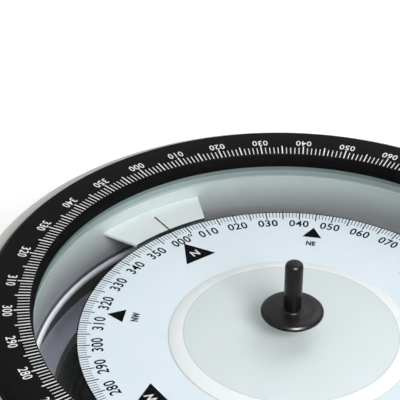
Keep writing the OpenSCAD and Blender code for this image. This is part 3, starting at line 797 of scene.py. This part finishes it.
pointers = [
    pointer(height=0.0135, tip_radius=0.0795, bearing=bearing) for bearing in (0, 90, 180, 270)
]
pointers += [
    pointer(height=0.0075, tip_radius=0.0793, bearing=bearing) for bearing in (45, 135, 225, 315)
]
pointers += [
    lettering(
        words,
        height=0.0031,
        radius=0.067,
        bearing=bearing,
        turn=0,
        top=card_top,
        weight=0.0002,
        squeeze=0.74,
    )
    for words, bearing in (("NE", 45), ("SE", 135), ("SW", 225), ("NW", 315))
]
card_pointers = joined(pointers, "card_pointers")
pointer_letters = joined(
    [
        lettering(
            words,
            height=0.0039,
            radius=0.0708,
            bearing=bearing,
            turn=0,
            top=print_top,
            weight=0.00012,
        )
        for words, bearing in (("N", 0), ("E", 90), ("S", 180), ("W", 270))
    ],
    "pointer_letters",
)
for part in (card_marks, edge_line, card_numbers, card_pointers):
    part.data.materials.append(black_print)
    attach(part, "card")
pointer_letters.data.materials.append(white_fill)
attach(pointer_letters, "card")

# The float under the card is a sealed shell of thin white-painted sheet. Its lid stands above the
# card as a low, flat plateau with a sloping rim, a shade greener than the card. The rim is painted
# lighter for the light it catches, with a thin line of painted shade at its fold.
lid_low, lid_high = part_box("float_cover")
lid_slope = 0.0062
lid_rim = 0.0003
lid_middle = 0.002
float_lid = turned(
    "float_lid",
    [
        (lid_middle, lid_low.z),
        (lid_high.x, lid_low.z),
        (lid_high.x, lid_low.z + lid_rim),
        (lid_high.x - lid_slope, lid_high.z),
        (lid_middle, lid_high.z),
    ],
    segments=256,
)
round_edges(float_lid, width=0.0003)
float_white = finish(
    "float_white",
    colour=shade_of(227, 235, 237),
    shade=shade_of(223, 233, 234),
    scale=60,
    roughness=0.45,
    spread=0.08,
    bump=0.04,
    gloss=0.15,
)
lid_fold = lid_high.x - lid_slope
fold_inner, fold_outer, past_lid = lid_fold - 0.0003, lid_fold + 0.0001, 0.06
# Painted light on the sloping rim, and painted shade in a thin line at its fold.
banded(float_white, fold_outer, past_lid, shade_of(251, 255, 255))
banded(float_white, fold_inner, fold_outer, shade_of(208, 218, 218))
float_lid.data.materials.append(float_white)
dress(float_white, "float_body")
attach(float_lid, "card")
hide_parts("float_cover")

# The lubber plate is a white painted shelf, screwed to the inner wall by its tab and level with
# the card. A fine black line on it marks the ship's head.
plate_white = finish(
    "plate_white",
    colour=shade_of(228, 234, 234),
    shade=shade_of(224, 231, 231),
    scale=120,
    roughness=0.45,
    spread=0.1,
    bump=0.05,
    gloss=0.15,
)
# The plate's front face is painted dark: painted shade for the gap beneath its edge.
front_inner, front_outer = 0.09, 0.09172
banded(plate_white, front_inner, front_outer, shade_of(40, 48, 48))
dress(plate_white, "lubber_plate")
plate_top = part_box("lubber_plate")[1].z
line_inner, line_outer = 0.0917, 0.1036
line_width = 0.0007
line_aside = 0.0001
bpy.ops.object.select_all(action="DESELECT")
bpy.ops.mesh.primitive_cube_add(
    size=1, location=(line_aside, (line_inner + line_outer) / 2, plate_top)
)
lubber_line = bpy.context.object
lubber_line.name = "lubber_line"
lubber_line.scale = (line_width, line_outer - line_inner, print_thickness)
bpy.ops.object.transform_apply(location=True, rotation=True, scale=True)
lubber_line.data.materials.append(black_print)
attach(lubber_line, "bowl")

# The top glass is a plain clear disc, clamped between gaskets under the bearing ring. A sealing
# bead is laid in the pocket round its edge, in a grey-green darker than the wall: painted shade
# under the ring.
glass_low, glass_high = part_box("top_glass")
seal_inner, seal_outer, seal_lean = 0.1086, 0.1094, 0.0002
seal_gap = 0.00005
seal_low, seal_high = glass_low.z + seal_gap, glass_high.z - seal_gap
seal = turned(
    "glass_seal",
    [
        (seal_inner, seal_low),
        (seal_inner - seal_lean, seal_high),
        (seal_outer, seal_high),
        (seal_outer, seal_low),
        (seal_inner, seal_low),
    ],
    segments=256,
)
# The seal's grey-green is painted shade under the bearing ring.
seal.data.materials.append(
    finish(
        "seal_bead",
        colour=shade_of(147, 163, 162),
        shade=shade_of(142, 159, 158),
        scale=400,
        roughness=0.5,
        spread=0.1,
        bump=0.1,
    )
)
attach(seal, "bowl")
dress(glass("clear_pane", shade_of(52, 66, 66), clearness=0.012, gloss=0.5), "top_glass")

# The shadow pin stands in a round foot on the middle of the glass. Both are turned from metal,
# blackened and polished, and the foot has a small collar round the pin.
foot_low, foot_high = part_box("pin_foot")
pin_low, pin_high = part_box("shadow_pin")
pin_radius = pin_high.x
foot_radius = foot_high.x
foot_face = foot_low.z + 0.003
foot_bore = pin_radius * 0.72
spigot_radius = pin_radius * 0.7
pin_crown = 0.0008
pin_foot = turned(
    "pin_foot_turned",
    [
        (foot_bore, foot_low.z),
        (foot_radius - 0.0006, foot_low.z),
        (foot_radius, foot_low.z + 0.0007),
        (foot_radius, foot_low.z + 0.0016),
        (foot_radius - 0.0007, foot_low.z + 0.0023),
        (foot_radius - 0.0018, foot_low.z + 0.0027),
        (foot_radius - 0.004, foot_face - 0.0001),
        (pin_radius + 0.0011, foot_face + 0.00002),
        (pin_radius + 0.00105, foot_face + 0.00022),
        (pin_radius + 0.00085, foot_face + 0.0004),
        (pin_radius + 0.00055, foot_high.z),
        (foot_bore, foot_high.z),
    ],
    segments=128,
)
round_edges(pin_foot, width=0.0003)
shadow_pin = turned(
    "shadow_pin_turned",
    [
        (spigot_radius, pin_low.z),
        (spigot_radius, foot_high.z),
        (pin_radius, foot_high.z),
        (pin_radius, pin_high.z - 0.0018),
        (pin_radius - 0.00035, pin_high.z - 0.00095),
        (pin_radius - 0.001, pin_high.z - 0.0004),
        (pin_radius - 0.002, pin_high.z - 0.0001),
        (pin_crown, pin_high.z),
    ],
    segments=96,
)
round_edges(shadow_pin, width=0.0003)
blackened = finish(
    "blackened",
    colour=shade_of(24, 22, 23),
    shade=shade_of(19, 17, 18),
    scale=400,
    roughness=0.27,
    spread=0.06,
    bump=0.02,
    gloss=0.18,
)
for part, node, body in (
    (pin_foot, "pin_foot", "bowl"),
    (shadow_pin, "shadow_pin", "azimuth_pin"),
):
    part.data.materials.append(blackened)
    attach(part, body)
    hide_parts(node)

# The studio: a pale floor under the bowl's foot, seen from above only, a main soft lamp from
# astern, weaker ones from starboard and low from ahead, one that shows only as a glint on
# gloss, and a white surround.
floor_gap = 0.0005
bpy.ops.object.select_all(action="DESELECT")
bpy.ops.mesh.primitive_plane_add(size=8, location=(0, 0, cad_box[0].z - floor_gap))
floor = bpy.context.object
floor.name = "floor"
floor_white = bpy.data.materials.new("floor_white")
floor_white.use_nodes = True
floor_nodes, floor_links = floor_white.node_tree.nodes, floor_white.node_tree.links
floor_shader = floor_nodes["Principled BSDF"]
floor_shader.inputs["Base Color"].default_value = (0.8, 0.8, 0.8, 1)
floor_shader.inputs["Roughness"].default_value = 0.9
floor_shader.inputs["Emission Color"].default_value = (1, 1, 1, 1)
floor_side = floor_nodes.new("ShaderNodeNewGeometry")
floor_top = floor_nodes.new("ShaderNodeMath")
floor_top.operation = "SUBTRACT"
floor_top.inputs[0].default_value = 1
floor_links.new(floor_side.outputs["Backfacing"], floor_top.inputs[1])
floor_links.new(floor_top.outputs["Value"], floor_shader.inputs["Alpha"])


def seen(nodes, links, shown, otherwise):
    """One value on rays that look at a thing, straight or in a mirror, and another on the rest."""
    rays = nodes.new("ShaderNodeLightPath")
    either = nodes.new("ShaderNodeMath")
    either.operation = "MAXIMUM"
    links.new(rays.outputs["Is Camera Ray"], either.inputs[0])
    links.new(rays.outputs["Is Glossy Ray"], either.inputs[1])
    through = nodes.new("ShaderNodeMath")
    through.operation = "MAXIMUM"
    links.new(either.outputs["Value"], through.inputs[0])
    links.new(rays.outputs["Is Transmission Ray"], through.inputs[1])
    value = nodes.new("ShaderNodeMapRange")
    value.inputs["To Min"].default_value = otherwise
    value.inputs["To Max"].default_value = shown
    links.new(through.outputs["Value"], value.inputs["Value"])
    return value.outputs["Result"]


floor_glow = seen(floor_nodes, floor_links, shown=0.4, otherwise=0)
floor_links.new(floor_glow, floor_shader.inputs["Emission Strength"])
floor.data.materials.append(floor_white)


def soft_lamp(name, place, size, watts):
    """A square lamp at the place, aimed at the card."""
    aim_at = Vector((0, 0, card_top)) - Vector(place)
    bpy.ops.object.light_add(type="AREA", location=place)
    lamp = bpy.context.object
    lamp.name = name
    lamp.data.size = size
    lamp.data.energy = watts
    lamp.rotation_euler = aim_at.to_track_quat("-Z", "Y").to_euler()
    return lamp


soft_lamp("far_lamp", (1.1, 0.4, 1.3), size=1.0, watts=6)
soft_lamp("near_lamp", (-0.2, -1.25, 0.95), size=0.7, watts=22.5)
back_lamp = soft_lamp("back_lamp", (0.9, 1.5, 0.35), size=1.2, watts=12)
back_lamp.visible_glossy = False
glint_lamp = soft_lamp("glint_lamp", (-0.4, -1.2, 1.4), size=0.5, watts=110)
glint_lamp.visible_diffuse = False
world = bpy.data.worlds.new("surround")
bpy.context.scene.world = world
world.use_nodes = True
surround = world.node_tree.nodes["Background"]
surround.inputs["Color"].default_value = (0.98, 0.99, 1.0, 1)
world_nodes, world_links = world.node_tree.nodes, world.node_tree.links
world_glow = seen(world_nodes, world_links, shown=1.0, otherwise=0.31)
world_links.new(world_glow, surround.inputs["Strength"])
